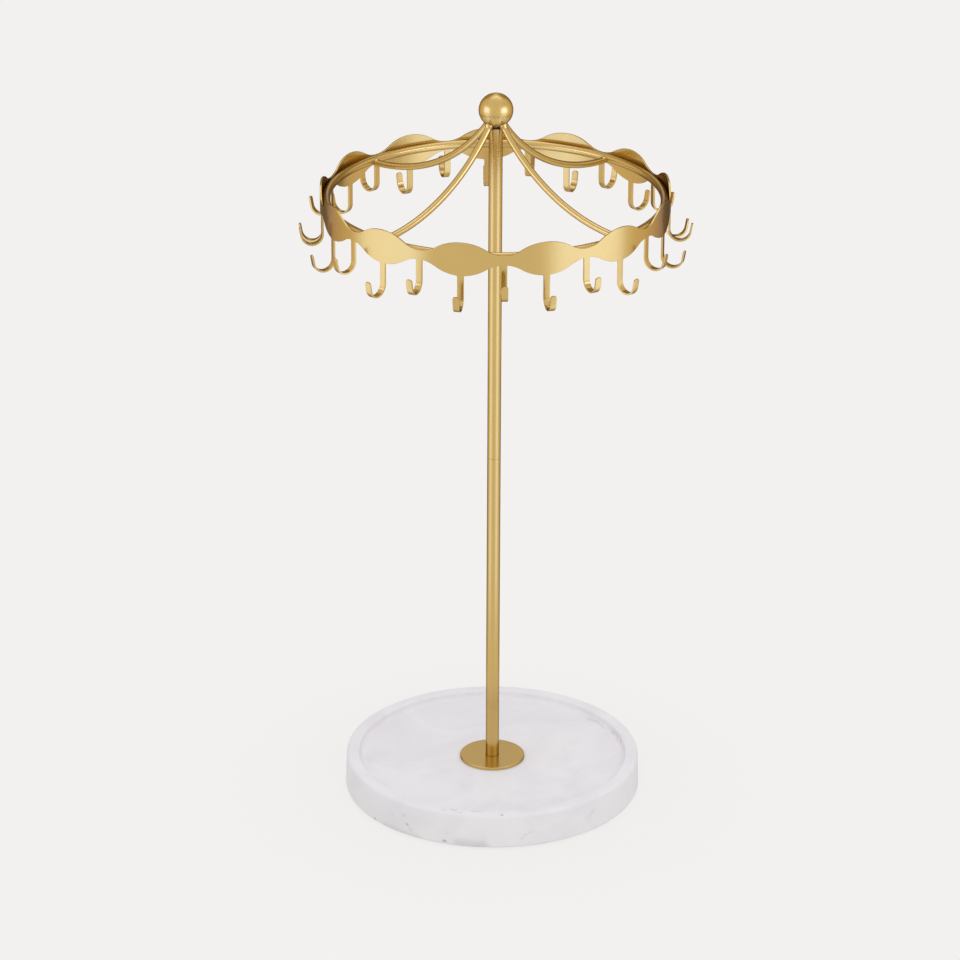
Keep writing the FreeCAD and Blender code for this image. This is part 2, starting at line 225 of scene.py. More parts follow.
def rounded(corners, steps=6):
    """Closed outline from (r, z, round) corners: each corner is an arc of its own radius.

    The arc starts round / tan(half the corner's angle) before the corner on one side and ends as
    far past it on the other, and a corner with no round is a single point.
    """
    points = []
    befores, afters = corners[-1:] + corners[:-1], corners[1:] + corners[:1]
    for before, (r, z, size), after in zip(befores, corners, afters):
        here = np.array([r, z])
        if size == 0:
            points.append(here[None])
            continue
        to_before = np.array(before[:2]) - here
        to_after = np.array(after[:2]) - here
        to_before /= np.linalg.norm(to_before)
        to_after /= np.linalg.norm(to_after)
        half = math.acos(np.clip(to_before @ to_after, -1, 1)) / 2
        inward = (to_before + to_after) / np.linalg.norm(to_before + to_after)
        centre = here + inward * size / math.sin(half)
        start = here + to_before * size / math.tan(half) - centre
        across = here + to_after * size / math.tan(half) - centre
        turn = math.pi - 2 * half
        share = np.linspace(0, 1, steps)[:, None]
        arc = (np.sin((1 - share) * turn) * start + np.sin(share * turn) * across) / math.sin(turn)
        points.append(centre + arc)
    return np.concatenate(points)


def divided(outline, longest):
    """The closed outline with each run split evenly so that no step is longer than longest.

    longest is one length, or one for each of the outline's runs.
    """
    after = np.roll(outline, -1, axis=0)
    parts = np.maximum(1, np.ceil(np.linalg.norm(after - outline, axis=1) / longest)).astype(int)
    start = np.repeat(outline, parts, axis=0)
    run = np.repeat(after - outline, parts, axis=0)
    first = np.repeat(np.cumsum(parts) - parts, parts)
    share = (np.arange(parts.sum()) - first) / np.repeat(parts, parts)
    return start + run * share[:, None]


def turned(outline, columns):
    """Points of a closed (r, z) outline carried round the pole: (r sin a, -r cos a, z)."""
    angle = np.linspace(0, 2 * math.pi, columns, endpoint=False)[:, None]
    r, z = outline[None, :, 0], outline[None, :, 1]
    return np.stack([r * np.sin(angle), -r * np.cos(angle), z + 0 * angle], -1)


def turned_faces(columns, points):
    """Quads of a turned piece whose outline runs anticlockwise in (r, z)."""
    return grid_faces(columns, points, wrap_rows=True, wrap_columns=True)[:, ::-1]


def turned_metal(name, outline, columns, body, node):
    """A lacquered piece whose closed outline is carried round the pole."""
    points = turned(outline, columns).reshape(-1, 3)
    faces = turned_faces(columns, len(outline))
    return new_piece(name, points, faces, gold(), body, [node])


def merge_and_face_out(piece, merge):
    """Runs merge on the piece's mesh and turns its faces outward again."""
    work = bmesh.new()
    work.from_mesh(piece.data)
    merge(work)
    bmesh.ops.recalc_face_normals(work, faces=work.faces)
    work.to_mesh(piece.data)
    work.free()


def round_rod(line, across, up, radius):
    """Tube along a line: point + radius (across cos b + up sin b), radius given at each b."""
    turn = np.linspace(0, 2 * math.pi, WIRE_SIDES, endpoint=False)[None, :, None]
    ring = across[:, None] * np.cos(turn) + up[:, None] * np.sin(turn)
    points = line[:, None] + radius[:, :, None] * ring
    return points.reshape(-1, 3)


# ---------------------------------------------------------------- material helpers

def add_node(tree, kind, inputs=None, **settings):
    """A node with its settings; inputs maps a socket to a value or to the socket that feeds it."""
    made = tree.nodes.new(kind)
    for name, value in settings.items():
        setattr(made, name, value)
    for name, value in (inputs or {}).items():
        if isinstance(value, bpy.types.NodeSocket):
            tree.links.new(value, made.inputs[name])
        else:
            made.inputs[name].default_value = value
    return made


def span(value, start, end, at_start, at_end):
    """Inputs of a Map Range node that carries start..end to at_start..at_end."""
    return {"Value": value, "From Min": start, "From Max": end, "To Min": at_start, "To Max": at_end}


def new_material(name):
    """An empty material with its output node; returns (material, tree, output)."""
    material = bpy.data.materials.new(name)
    material.use_nodes = True
    material.node_tree.nodes.clear()
    return material, material.node_tree, add_node(material.node_tree, "ShaderNodeOutputMaterial")


def solid(colour):
    return (*colour, 1.0)


def object_point(tree, scale=1.0):
    """Position on the object, in units of 1 / scale metres."""
    place = add_node(tree, "ShaderNodeTexCoord")
    return add_node(tree, "ShaderNodeMapping", {
        "Vector": place.outputs["Object"], "Scale": (scale, scale, scale)}).outputs["Vector"]


def per_mm(millimetres):
    """Noise scale that gives one feature every so many millimetres."""
    return 1 / (millimetres * MM)


def gold_lacquer(name, smooth, rougher):
    """Steel, satin-polished and coated with gold-tinted lacquer.

    The lacquer levels out, so the eye sees soft reflections with a very slight orange peel and a
    slightly deeper gold where the coat is thicker.  At a flat angle the light passes more of the
    tinted coat, so the shader's edge tint is dark and the clear gloss fades with the angle.
    """
    colours = bpy.context.scene.stand_colours
    material, tree, output = new_material(name)
    point = object_point(tree)
    cloud = add_node(tree, "ShaderNodeTexNoise", {
        "Vector": point, "Scale": per_mm(22), "Detail": 3.0, "Roughness": 0.5})
    amount = add_node(tree, "ShaderNodeMapRange", span(cloud.outputs["Fac"], 0.35, 0.7, 0.0, 0.35))
    tint = add_node(tree, "ShaderNodeMix", {
        "Factor": amount.outputs["Result"], "A": solid(colours.gold), "B": solid(colours.gold_shade)},
        data_type="RGBA")
    facing = add_node(tree, "ShaderNodeLayerWeight", {"Blend": 0.5})
    skin = add_node(tree, "ShaderNodeMapRange", span(facing.outputs["Facing"], 0.2, 0.85, 0.95, 0.3))
    gloss = add_node(tree, "ShaderNodeTexNoise", {
        "Vector": point, "Scale": per_mm(8), "Detail": 2.0, "Roughness": 0.5})
    rough = add_node(tree, "ShaderNodeMapRange", span(gloss.outputs["Fac"], 0.3, 0.7, smooth, rougher))
    peel = add_node(tree, "ShaderNodeTexNoise", {
        "Vector": point, "Scale": per_mm(2.5), "Detail": 1.0, "Roughness": 0.4})
    bump = add_node(tree, "ShaderNodeBump", {
        "Height": peel.outputs["Fac"], "Strength": 0.01, "Distance": 0.02 * MM})
    shader = add_node(tree, "ShaderNodeBsdfPrincipled", {
        "Base Color": tint.outputs["Result"], "Metallic": 1.0, "Roughness": rough.outputs["Result"],
        "Specular Tint": solid(colours.gold_edge), "Coat Weight": skin.outputs["Result"],
        "Coat Roughness": 0.18, "Coat IOR": 2.05, "Normal": bump.outputs["Normal"]})
    tree.links.new(shader.outputs["BSDF"], output.inputs["Surface"])
    return material


def cast_stone(name):
    """Fine gypsum stone, poured in a mould and lightly sanded.

    The eye sees a matt off-white body with cloudy veins, pinholes left by air bubbles, and the
    scuffs and hairlines that the tray's own attribute of marks holds. That attribute also holds a
    painted shade along the dish's inner wall on the right and back right.
    """
    colours = bpy.context.scene.stand_colours
    material, tree, output = new_material(name)
    point = object_point(tree)
    warp = add_node(tree, "ShaderNodeTexNoise", {
        "Vector": point, "Scale": per_mm(60), "Detail": 4.0, "Roughness": 0.55, "Distortion": 1.4})
    vein = add_node(tree, "ShaderNodeMapRange", span(warp.outputs["Fac"], 0.42, 0.62, 0.0, 0.75))
    body = add_node(tree, "ShaderNodeMix", {
        "Factor": vein.outputs["Result"], "A": solid(colours.stone), "B": solid(colours.stone_vein)},
        data_type="RGBA")
    bubble = add_node(tree, "ShaderNodeTexVoronoi", {"Vector": point, "Scale": per_mm(9)})
    pinhole = add_node(tree, "ShaderNodeMapRange", span(bubble.outputs["Distance"], 0.02, 0.05, 0.5, 0.0))
    # The attribute holds scuffs and hairlines, and a painted shade along the dish's inner wall.
    worn_and_shaded = add_node(tree, "ShaderNodeAttribute", attribute_name="marks_and_shade")
    mark_and_shade = add_node(tree, "ShaderNodeMath", {0: worn_and_shaded.outputs["Fac"], 1: pinhole.outputs["Result"]},
                    operation="MAXIMUM")
    tint = add_node(tree, "ShaderNodeMix", {
        "Factor": mark_and_shade.outputs["Value"], "A": body.outputs["Result"], "B": solid(colours.stone_mark_and_shade)},
        data_type="RGBA")
    grain = add_node(tree, "ShaderNodeTexNoise", {
        "Vector": point, "Scale": per_mm(2.5), "Detail": 5.0, "Roughness": 0.65})
    height = add_node(tree, "ShaderNodeMath", {
        0: grain.outputs["Fac"], 1: mark_and_shade.outputs["Value"]}, operation="SUBTRACT")
    bump = add_node(tree, "ShaderNodeBump", {
        "Height": height.outputs["Value"], "Strength": 0.25, "Distance": 0.1 * MM})
    rough = add_node(tree, "ShaderNodeMapRange", span(grain.outputs["Fac"], 0.3, 0.7, 0.66, 0.78))
    shader = add_node(tree, "ShaderNodeBsdfPrincipled", {
        "Base Color": tint.outputs["Result"], "Roughness": rough.outputs["Result"],
        "IOR": 1.5, "Normal": bump.outputs["Normal"]})
    tree.links.new(shader.outputs["BSDF"], output.inputs["Surface"])
    return material


def plain_finish(name, colour, metallic, roughness, grain_mm, bump_mm):
    """Small hardware: one colour with a fine grain in its gloss and its surface."""
    material, tree, output = new_material(name)
    grain = add_node(tree, "ShaderNodeTexNoise", {
        "Vector": object_point(tree), "Scale": per_mm(grain_mm), "Detail": 4.0, "Roughness": 0.6})
    rough = add_node(tree, "ShaderNodeMapRange", span(
        grain.outputs["Fac"], 0.3, 0.7, roughness * 0.85, roughness * 1.15))
    shade = add_node(tree, "ShaderNodeMix", {
        "Factor": grain.outputs["Fac"], "A": solid(colour),
        "B": solid([channel * 0.8 for channel in colour])}, data_type="RGBA")
    bump = add_node(tree, "ShaderNodeBump", {
        "Height": grain.outputs["Fac"], "Strength": 0.3, "Distance": bump_mm * MM})
    shader = add_node(tree, "ShaderNodeBsdfPrincipled", {
        "Base Color": shade.outputs["Result"], "Metallic": metallic,
        "Roughness": rough.outputs["Result"], "Normal": bump.outputs["Normal"]})
    tree.links.new(shader.outputs["BSDF"], output.inputs["Surface"])
    return material


def finish(name, make, *settings):
    """The material of that name, made the first time it is asked for."""
    return bpy.data.materials.get(name) or make(name, *settings)


def gold():
    """Lacquer over the rolled sheet and the drawn tubes and wires."""
    return finish("gold_lacquer_on_steel", gold_lacquer, 0.20, 0.26)


def gold_ball():
    """The same lacquer over a turned ball, where it stays a little softer."""
    return finish("gold_lacquer_on_turned_ball", gold_lacquer, 0.34, 0.40)


# ---------------------------------------------------------------- band and hooks

def scallop(along, half, lobe, waist, share):
    """Half height of the band at a distance from a waist: a hollow arc, then the lobe's arc.

    Both arcs meet on the line between their centres, so the outline has no corner there.
    """
    depth = (lobe - waist) / 2
    both = (half ** 2 + depth ** 2) / (2 * depth)
    lobe_r = share * both
    waist_r = both - lobe_r
    meet = waist_r * half / both
    hollow = waist / 2 + waist_r - np.sqrt(np.maximum(waist_r ** 2 - along ** 2, 0))
    crest = lobe / 2 - lobe_r + np.sqrt(np.maximum(lobe_r ** 2 - (half - along) ** 2, 0))
    return np.where(along < meet, hollow, crest)


def half_pitch_columns(sizes, middle_r, lobe):
    """Columns from a waist's middle to the next lobe's middle, in the band's flat pattern.

    Returns for each column: place along the top edge, height of that edge and its outward
    direction, then the same three for the bottom edge with the hooks' root rounds in it.
    """
    pitch = 2 * math.pi / LOBES
    length = middle_r * pitch / 2
    strap = sizes.hook_width / 2
    root = sizes.hook_root
    turn = ROOT_TURN
    hollow = strap + root - root * np.sin(turn)
    strap_steps = np.linspace(0, 1, STRAP_STEPS) * strap
    between = np.linspace(strap + root, length - strap - root, BETWEEN_STEPS)[1:-1]
    place = np.concatenate([
        strap_steps, hollow, between, length - hollow[::-1], length - strap_steps[::-1]])
    chord = middle_r * np.sin(place / middle_r)
    half = middle_r * math.sin(pitch / 2)
    height = scallop(chord, half, lobe, sizes.waist, sizes.lobe_share)
    slope = np.gradient(height, place)
    size = np.hypot(1, slope)
    up = np.stack([-slope / size, 1 / size], -1)
    down = np.stack([-slope / size, -1 / size], -1)
    drop = np.zeros_like(place)
    root_count = len(turn)
    near = slice(STRAP_STEPS, STRAP_STEPS + root_count)
    far = slice(-STRAP_STEPS - root_count, -STRAP_STEPS)
    for part, sign, angle in ((near, 1, turn), (far, -1, turn[::-1])):
        drop[part] = root - root * np.cos(angle)
        down[part] = np.stack([sign * np.sin(angle), -np.cos(angle)], -1)
    drop[:STRAP_STEPS] = root
    drop[-STRAP_STEPS:] = root
    down[STRAP_STEPS - 1] = (1, 0)
    down[-STRAP_STEPS] = (-1, 0)
    down[:STRAP_STEPS - 1] = 0
    down[-STRAP_STEPS + 1:] = 0
    bottom = -height - drop
    bottom[:STRAP_STEPS] = bottom[0]
    bottom[-STRAP_STEPS:] = bottom[-1]
    return place, height, up, bottom, down


def band_columns(sizes, middle_r, lobe):
    """The columns of the whole band: each half pitch, its mirror image, and so on round."""
    place, height, up, bottom, down = half_pitch_columns(sizes, middle_r, lobe)
    length = place[-1]
    back = slice(-2, 0, -1)
    flip = np.array([-1, 1])
    place = np.concatenate([place, 2 * length - place[back]])
    height = np.concatenate([height, height[back]])
    bottom = np.concatenate([bottom, bottom[back]])
    up = np.concatenate([up, up[back] * flip])
    down = np.concatenate([down, down[back] * flip])
    starts = np.repeat(np.arange(LOBES) * 2 * length, len(place))
    whole = [np.tile(place, LOBES) + starts, np.tile(height, LOBES), np.tile(up, (LOBES, 1)),
             np.tile(bottom, LOBES), np.tile(down, (LOBES, 1))]
    return whole, len(place)


def hook_rows(sizes, start, low):
    """Rows of one hook below its root: depth down the flat strap, half width, outward direction.

    The height of the bend's centre comes last.
    The strap's length is the straight run, the bend and the tip leg laid out flat, and its tip's
    corners are quarter circles.
    """
    bend = sizes.hook_bend
    lean = sizes.hook_lean
    half_t = sizes.sheet / 2
    centre = low + half_t + bend
    climb = low + sizes.hook_rise - centre + (bend - half_t) * math.sin(lean)
    leg = climb / math.cos(lean)
    straight = start - centre
    arc = bend * (math.pi - lean)
    whole = straight + arc + leg
    tip = sizes.hook_tip
    depths = np.concatenate([
        np.linspace(0, straight, STRAIGHT_STEPS)[1:],
        straight + np.linspace(0, arc, BEND_STEPS)[1:],
        straight + arc + np.linspace(0, leg - tip, LEG_STEPS)[1:],
    ])
    corner = TIP_TURN
    half = sizes.hook_width / 2
    widths = np.concatenate([np.full(len(depths), half), half - tip + tip * np.cos(corner)])
    sideways = np.concatenate([np.ones(len(depths)), np.cos(corner)])
    downward = np.concatenate([np.zeros(len(depths)), np.sin(corner)])
    depths = np.concatenate([depths, whole - tip + tip * np.sin(corner)])
    return depths, widths, sideways, downward, centre


def bent_sheet(flat, middle_r, bend, lean, band_z):
    """Rolls and bends flat sheet points (along, height, offset, hook centre, bend centre) into space.

    Above the bend's centre the sheet is a cylinder about the pole.  Below it the height that is
    left is run along the bend's arc and then along the straight tip leg, and the offset follows
    the sheet's own normal.
    """
    along, height, offset, hook, centre = flat.T
    below = np.maximum(centre - height, 0)
    angle = np.minimum(below / bend, math.pi - lean)
    leg = np.maximum(below - bend * (math.pi - lean), 0)
    out = bend - bend * np.cos(angle) + leg * np.sin(lean)
    z = np.where(height > centre, height, centre) - bend * np.sin(angle) + leg * np.cos(lean)
    radius = middle_r + out + offset * np.cos(angle)
    turn = hook / middle_r + (along - hook) / (middle_r + out)
    z = z + offset * np.sin(angle)
    return np.stack([radius * np.sin(turn), -radius * np.cos(turn), band_z + z], -1)


def build_band(sizes):
    """The scalloped strip and its hooks as one bent sheet with rounded edges."""
    low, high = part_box("scalloped_band")
    lobe = high.z - low.z
    band_z = (high.z + low.z) / 2
    middle_r = max(-low.y, high.y) - sizes.sheet / 2
    half_t = sizes.sheet / 2
    edge = sizes.edge
    (place, height, up, bottom, down), per_pitch = band_columns(sizes, middle_r, lobe)
    corner = STRAP_STEPS - 1
    count = len(place)
    column = np.arange(count)
    pitch_length = 2 * math.pi * middle_r / LOBES
    top = np.stack([place, height], -1) - edge * up
    foot = np.stack([place, bottom], -1) - edge * down

    # The band: rows from the top edge to the bottom edge.
    rows = BAND_ROWS
    share = np.linspace(0, 1, rows)[:, None, None]
    band = top + (foot - top) * share
    flat = [np.concatenate([band, np.zeros((rows, count, 1)), band[..., :1],
                            np.full((rows, count, 1), -1.0)], -1).reshape(-1, 5)]
    faces = [grid_faces(rows, count, wrap_columns=True)[:, ::-1]]
    total = rows * count
    outline = {}

    # The hooks, hung from the band's bottom row.
    across = np.linspace(-1, 1, 2 * corner + 1)
    order = []
    for index in range(2 * LOBES):
        middle = index * per_pitch // 2
        nodes = ("hook_waist_%02d" if index % 2 == 0 else "hook_lobe_%02d") % (index // 2 + 1)
        start = foot[middle, 1]
        depths, widths, side, downward, centre = hook_rows(sizes, start, bottom_of(nodes) - band_z)
        centre_line = index * pitch_length / 2
        half = widths - edge * side
        grid = np.zeros((len(depths), len(across), 5))
        grid[..., 0] = centre_line + half[:, None] * across
        grid[..., 1] = (start - depths + edge * downward)[:, None]
        grid[..., 3] = centre_line
        grid[..., 4] = centre
        numbers = total + np.arange(grid.shape[0] * grid.shape[1]).reshape(grid.shape[:2])
        root = (rows - 1) * count + (middle + np.arange(-corner, corner + 1)) % count
        numbers = np.concatenate([root[None], numbers])
        quads = np.stack([numbers[:-1, :-1], numbers[1:, :-1], numbers[1:, 1:], numbers[:-1, 1:]], -1)
        faces.append(quads.reshape(-1, 4))
        flat.append(grid.reshape(-1, 5))
        total += grid.shape[0] * grid.shape[1]
        tip = numbers[-1, 1:-1]
        order.append((middle, numbers[1:, -1], tip[::-1], numbers[:0:-1, 0]))
        turn_out = np.stack([side, -downward], -1)
        outline.update(zip(numbers[1:, -1].tolist(), turn_out.tolist()))
        outline.update(zip(numbers[1:, 0].tolist(), (turn_out * (-1, 1)).tolist()))
        outline.update(zip(tip.tolist(), [[0.0, -1.0]] * len(tip)))
    flat = np.concatenate(flat)
    faces = np.concatenate(faces)

    # Edge loops, each with the sheet on its right, and their outward directions.
    directions = np.zeros((len(flat), 2))
    directions[list(outline)] = list(outline.values())
    bottom_row = (rows - 1) * count + column
    directions[bottom_row] = down
    bottom_loop = hooked_loop(bottom_row, order, corner)
    loops = ((column, up), (bottom_loop, directions[bottom_loop]))

    outer = flat.copy()
    outer[:, 2] = half_t
    inner = flat.copy()
    inner[:, 2] = -half_t
    sheets = [outer, inner]
    quads = [faces, faces[:, ::-1] + len(flat)]
    total = 2 * len(flat)
    for loop, outward in loops:
        turn = np.concatenate([EDGE_TURN, EDGE_TURN[::-1]])[:, None]
        side = np.array([1, 1, 1, -1, -1, -1])[:, None]
        rim = np.repeat(flat[loop][None], len(turn), axis=0)
        rim[..., :2] += edge * np.sin(turn)[..., None] * outward
        rim[..., 2] = side * (half_t - edge + edge * np.cos(turn))
        sheets.append(rim.reshape(-1, 5))
        made = total + np.arange(rim.shape[0] * rim.shape[1]).reshape(rim.shape[:2])
        made = np.concatenate([loop[None], made, loop[None] + len(flat)])
        after = np.roll(made, -1, axis=1)
        quads.append(np.stack([made[:-1], after[:-1], after[1:], made[1:]], -1).reshape(-1, 4))
        total += rim.shape[0] * rim.shape[1]
    points = bent_sheet(np.concatenate(sheets), middle_r, sizes.hook_bend, sizes.hook_lean, band_z)
    hooks = [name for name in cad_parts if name.startswith("hook_")]
    piece = new_piece("hooked_band", points, np.concatenate(quads), gold(), "carousel",
                      ["scalloped_band"] + hooks)
    keep_flats_flat(piece)


def hooked_loop(bottom_row, order, corner):
    """The bottom edge from right to left, going down and round each hook on the way."""
    count = len(bottom_row)
    pieces = []
    for index in range(len(order) - 1, -1, -1):
        middle, right_side, tip, left_side = order[index]
        after = order[index + 1][0] if index + 1 < len(order) else count
        between = np.arange(after - corner, middle + corner - 1, -1) % count
        pieces += [bottom_row[between], right_side, tip, left_side]
    return np.concatenate(pieces)


# ---------------------------------------------------------------- ring, ribs and ball

def ring_place():
    """Radius and height of the ring's line, and the wire's radius."""
    low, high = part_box("ring_wire")
    wire = (high.z - low.z) / 2
    return (high.x - low.x) / 2 - wire, (high.z + low.z) / 2, wire


def build_ring(sizes):
    """Wire ring: a circle of the wire's radius carried round the pole at the ring's line."""
    ring_r, ring_z, wire = ring_place()
    turn = np.linspace(0, 2 * math.pi, WIRE_SIDES, endpoint=False)
    outline = np.stack([ring_r + wire * np.cos(turn), ring_z + wire * np.sin(turn)], -1)
    turned_metal("wire_ring", outline, 2 * sizes.columns, "carousel", "ring_wire")


def build_ribs(sizes):
    """Four wires, each a circle carried along one arc in an upright plane.

    The arc is level where it ends under the ring's line and climbs to the ball's underside: its
    radius is (run ^ 2 + drop ^ 2) / (2 drop).  Welds swell the wire's upper side just outside the
    ring and the ball: height exp(-(distance / weld length) ^ 2) (1 + sin b) / 2 round the wire.
    """
    ring_r, ring_z, ring_wire = ring_place()
    ball_low, ball_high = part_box("ball_finial")
    ball_r = (ball_high.x - ball_low.x) / 2
    ball_z = ball_high.z - ball_r
    start_r = radius_of("upper_tube") + sizes.rib_offset
    start_z = ball_z - math.sqrt(ball_r ** 2 - start_r ** 2)
    end_z = ring_z - sizes.rib_drop
    run = ring_r - start_r
    drop = start_z - end_z
    bend = (run ** 2 + drop ** 2) / (2 * drop)
    sweep = math.atan2(run, bend - drop)
    into_ball = sizes.rib_wire / bend
    angle = np.linspace(0, sweep + into_ball, RIB_STEPS)
    out = ring_r - bend * np.sin(angle)
    z = end_z + bend - bend * np.cos(angle)
    wire = sizes.rib_wire / 2
    from_ring = np.abs(angle * bend - ring_wire)
    from_ball = np.abs((sweep - angle) * bend)
    swell = (RING_SWELL * np.exp(-(from_ring / WELD_LENGTH) ** 2)
             + BALL_SWELL * np.exp(-(from_ball / WELD_LENGTH) ** 2))
    upper = (1 + np.sin(np.linspace(0, 2 * math.pi, WIRE_SIDES, endpoint=False))) / 2
    radius = wire * (1 + swell[:, None] * upper)
    radius[[0, -1]] = wire * RIB_END
    for index in range(RIBS):
        azimuth = 2 * math.pi * (index + 0.5) / RIBS
        outward = np.array([math.sin(azimuth), -math.cos(azimuth), 0])
        across = np.array([math.cos(azimuth), math.sin(azimuth), 0])
        line = out[:, None] * outward + z[:, None] * np.array([0, 0, 1])
        lift = np.sin(angle)[:, None] * outward + np.cos(angle)[:, None] * np.array([0, 0, 1])
        points = round_rod(line, np.broadcast_to(across, line.shape), lift, radius)
        faces = grid_faces(len(line), WIRE_SIDES, wrap_columns=True)
        name = "rib_%d" % (index + 1)
        piece = new_piece("wire_" + name, points, faces, gold(), "carousel", [name])
        merge_and_face_out(piece, close_ends)


def close_ends(work):
    """Merges a wire's first and last ring, each almost a point, into one vertex each."""
    work.verts.ensure_lookup_table()
    for ring in (work.verts[:WIRE_SIDES], work.verts[-WIRE_SIDES:]):
        middle = sum((vertex.co for vertex in ring), Vector()) / WIRE_SIDES
        bmesh.ops.pointmerge(work, verts=list(ring), merge_co=middle)


def build_ball(sizes):
    """Turned ball: a circle's arc from the top pole down to the small flat on the spindle's collar."""
    low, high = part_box("ball_finial")
    ball_r = (high.x - low.x) / 2
    ball_z = high.z - ball_r
    end = math.acos((low.z - ball_z) / ball_r)
    angle = np.linspace(0, end, BALL_STEPS)
    arc = np.stack([ball_r * np.sin(angle), ball_z + ball_r * np.cos(angle)], -1)
    flat_r = arc[-1, 0]
    inside = np.array([[flat_r * 0.97, low.z], [flat_r * 0.5, low.z], [0.0, low.z]])
    outline = np.concatenate([arc, inside])[::-1]
    outline[:, 0] = np.maximum(outline[:, 0], AXIS_GAP)
    points = turned(outline, sizes.columns).reshape(-1, 3)
    faces = grid_faces(sizes.columns, len(outline), wrap_rows=True)[:, ::-1]
    piece = new_piece("turned_ball", points, faces, gold_ball(), "carousel",
                      ["ball_finial"])
    merge_and_face_out(piece, close_poles)


def close_poles(work):
    """Merges the vertices that meet on the pole's axis."""
    bmesh.ops.remove_doubles(work, verts=work.verts, dist=4 * AXIS_GAP)


# ---------------------------------------------------------------- pole and foot disc

def build_pole(sizes):
    """Two drawn tubes: a wall's outline with rounded ends, carried round the pole."""
    for node in ("lower_tube", "upper_tube"):
        outer = radius_of(node)
        bore = outer - sizes.tube_wall
        low, high = bottom_of(node), top_of(node)
        fine = sizes.tube_edge
        outline = rounded([(bore, low, 0), (outer, low, fine), (outer, high, fine), (bore, high, 0)])
        outline = divided(outline, TUBE_STEP)
        keep_flats_flat(turned_metal("drawn_" + node, outline, sizes.columns // 2, "stand", node))


def build_foot_disc(sizes):
    """Stamped disc: its outline carried round the pole, with the upper edge rounded."""
    low, high = bottom_of("foot_disc"), top_of("foot_disc")
    outer = radius_of("foot_disc")
    bore = radius_of("lower_tube") - sizes.tube_wall
    fine = sizes.disc_edge
    outline = rounded([(bore, low, 0), (outer, low, fine / 2), (outer, high, fine), (bore, high, 0)])
    outline = divided(outline, DISC_STEP)
    keep_flats_flat(turned_metal("stamped_foot_disc", outline, sizes.columns, "stand", "foot_disc"))


# ---------------------------------------------------------------- tray

def tray_outline(sizes):
    """The tray's section: recess, foot, drafted wall, rounded rim and dish.

    Its runs are split finely enough to hold the marks, but for the plain underside.
    """
    low, high = bottom_of("tray"), top_of("tray")
    foot = radius_of("tray")
    rim = foot - sizes.tray_draft
    dish = rim - sizes.rim_width
    floor = high - sizes.dish_depth
    recess_r = radius_of("base_washer") + RECESS_PLAY
    recess_z = top_of("base_washer")
    hole = radius_of("joiner_stud") + HOLE_PLAY
    corners = [
        (hole, recess_z, 0), (recess_r, recess_z, 0),
        (recess_r, low, RECESS_ROUND), (foot, low, FOOT_ROUND),
        (rim, high, RIM_ROUND), (dish, high, LIP_ROUND),
        (dish, floor, FLOOR_ROUND), (hole, floor, 0),
    ]
    outline = rounded(corners, steps=8)
    underside = outline[:, 1] < low + FOOT_ROUND / 2
    return divided(outline, np.where(underside, UNDERSIDE_STEP, FINE_STEP))


def wobble(points, outer):
    """Hand-poured unevenness: a few slow waves round the tray, only ever inward."""
    angle = np.arctan2(points[:, 0], -points[:, 1])
    radius = np.hypot(points[:, 0], points[:, 1])
    wave = (np.sin(2 * angle + 0.6) + 0.7 * np.sin(5 * angle + 2.1)
            + 0.5 * np.sin(9 * angle + 4.0)) / 2.2
    share = np.clip((radius / outer - WAVE_START) / (1 - WAVE_START), 0, 1)
    inward = 1 - share * (1 + wave) * WAVE_SHARE
    points[:, :2] *= inward[:, None]
    return points


# Marks as ((round, height or radius) start, the same end, half width, strength), in millimetres.
WALL_MARKS = [
    ((-58.3, 8.4), (-58.0, 8.0), 0.55, 1.0),
    ((-56.5, 6.0), (-54.5, 4.8), 0.5, 0.25),
    ((-33.4, 3.2), (-32.6, 3.0), 0.6, 1.0),
    ((-85.4, 2.2), (-84.6, 2.0), 0.7, 0.6),
    ((-61.0, 13.5), (-60.6, 13.5), 0.7, 0.35),
    ((-76.0, 2.0), (-50.0, 2.2), 1.6, 0.16),
    ((-25.0, 3.2), (-9.0, 2.8), 2.6, 0.24),
    ((13.0, 5.6), (16.0, 9.0), 0.35, 0.3),
    ((16.0, 9.0), (21.0, 10.8), 0.35, 0.25),
    ((60.0, 12.0), (63.0, 14.0), 0.6, 0.2),
]
RIM_MARKS_AND_SHADE = [
    ((1.2, 87.6), (2.0, 87.0), 0.5, 0.9),
    ((-30.0, 84.6), (-27.0, 83.2), 0.4, 0.4),
    ((-30.0, 83.4), (-27.6, 84.8), 0.4, 0.35),
    ((-17.5, 83.2), (-9.0, 82.6), 0.35, 0.45),
    ((-36.0, 86.0), (-33.0, 85.8), 0.4, 0.3),
    ((-25.0, 86.6), (-23.5, 86.6), 0.4, 0.3),
    # The five below are painted shade, not marks: a soft band along the dish's inner wall and lip on the
    # right and back right.
    ((200.0, 78.6), (189.0, 79.6), 0.5, 0.3),
    ((189.0, 79.6), (181.0, 78.8), 0.45, 0.25),
    ((172.0, 79.8), (167.0, 80.4), 0.5, 0.25),
    ((165.0, 80.8), (158.0, 79.6), 0.4, 0.22),
    ((160.0, 81.5), (153.0, 80.0), 0.4, 0.2),
]


def stroke(round_about, level, start, end, width):
    """Soft line between two (round about, level) places: exp(-(distance / width) ^ 2)."""
    here = np.stack([round_about, level], -1) - start
    run = end - start
    share = np.clip((here @ run) / (run @ run), 0, 1)
    distance = np.linalg.norm(here - share[:, None] * run, axis=1)
    return np.exp(-(distance / width) ** 2)


def strongest(marks_and_shade, round_about, level):
    """The strongest of the listed marks and painted shade at each place."""
    found = np.zeros(len(level))
    for start, end, width, strength in marks_and_shade:
        line = stroke(round_about, level, np.array(start) * MM, np.array(end) * MM, width * MM)
        found = np.maximum(found, strength * line)
    return found


